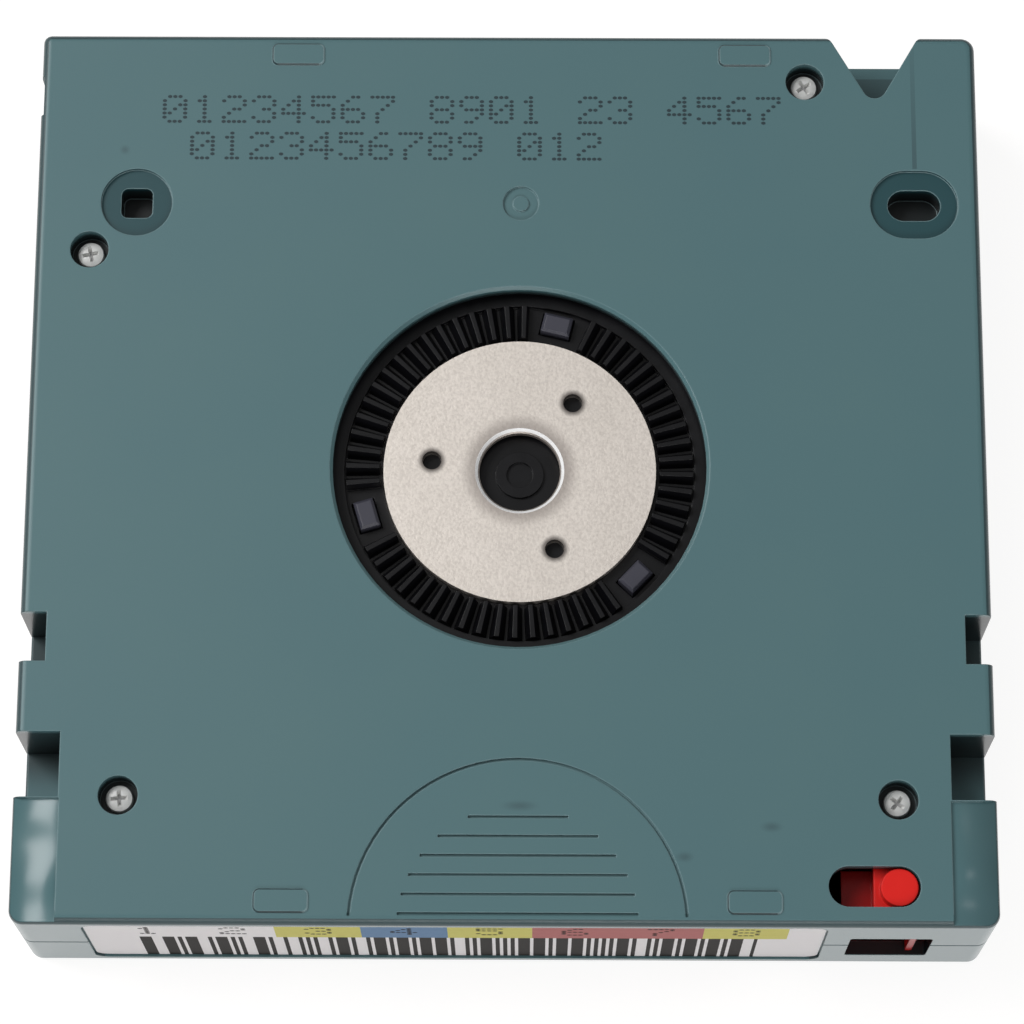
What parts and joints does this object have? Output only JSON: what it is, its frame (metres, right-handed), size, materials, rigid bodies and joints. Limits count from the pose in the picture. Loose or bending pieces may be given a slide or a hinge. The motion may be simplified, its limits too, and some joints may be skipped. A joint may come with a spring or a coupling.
{
  "type": "data tape cartridge",
  "caption": "Flat square cartridge with one reel of magnetic tape, a toothed hub with a steel drive plate, a side door for the leader pin, a write protect slider and a barcode label.",
  "frame": {"origin": "centre of the base of the bounding box, on the surface that the top shell rests on", "axes": "+Z out through the bottom shell with the hub opening, +Y toward the leading edge that enters the drive first, +X to the right seen from the hub side with the label end near"},
  "size_m": [0.1054, 0.102, 0.0217],
  "materials": {
    "shell": "satin moulded",
    "screw": "zinc plated",
    "label": "coated paper",
    "reel": "satin moulded",
    "flange": "satin moulded",
    "plate": "blasted",
    "tape": "coated film",
    "brake": "moulded",
    "spring": "drawn wire and strip",
    "spider": "moulded",
    "pin": "ground",
    "clip": "moulded",
    "door": "satin moulded",
    "board": "laminate",
    "resin": "cast resin",
    "slider": "moulded"
  },
  "bodies": {
    "case": {"bottom_shell": "shell", "top_shell": "shell", "case_screw_1": "screw", "case_screw_2": "screw", "case_screw_3": "screw", "case_screw_4": "screw", "barcode_label": "label", "brake_spring": "spring", "leader_pin": "pin", "leader_pin_clip": "clip", "tape_leader": "tape", "leader_pin_spring": "spring", "door_spring": "spring", "memory_board": "board", "memory_chip_cover": "resin"},
    "reel": {"reel_hub": "reel", "reel_top_flange": "flange", "reel_drive_plate": "plate", "tape_pack": "tape"},
    "brake": {"brake_ring": "brake"},
    "release": {"release_spider": "spider"},
    "door": {"door": "door"},
    "write_protect": {"write_protect_slider": "slider"}
  },
  "joints": [
    {"name": "reel_spin", "type": "hinge", "parent": "case", "child": "reel", "pos_m": [0.00145, 0, 0], "axis": [0, 0, 1], "continuous": true},
    {"name": "brake_slide", "type": "slide", "parent": "case", "child": "brake", "axis": [0, 0, -1], "range_m": [0, 0.0018], "stiffness_N_per_m": 1000, "springref_m": -0.006, "deforming": ["brake_spring"]},
    {"name": "release_slide", "type": "slide", "parent": "reel", "child": "release", "axis": [0, 0, -1], "range_m": [0, 0.0018]},
    {"name": "door_slide", "type": "slide", "parent": "case", "child": "door", "axis": [0, -1, 0], "range_m": [0, 0.0134], "stiffness_N_per_m": 40, "springref_m": -0.008, "deforming": ["door_spring"]},
    {"name": "write_protect_slide", "type": "slide", "parent": "case", "child": "write_protect", "axis": [-1, 0, 0], "range_m": [0, 0.0053]}
  ],
  "couplings": [
    {"joint": "release_slide", "follows": "brake_slide", "ratio": 1}
  ]
}
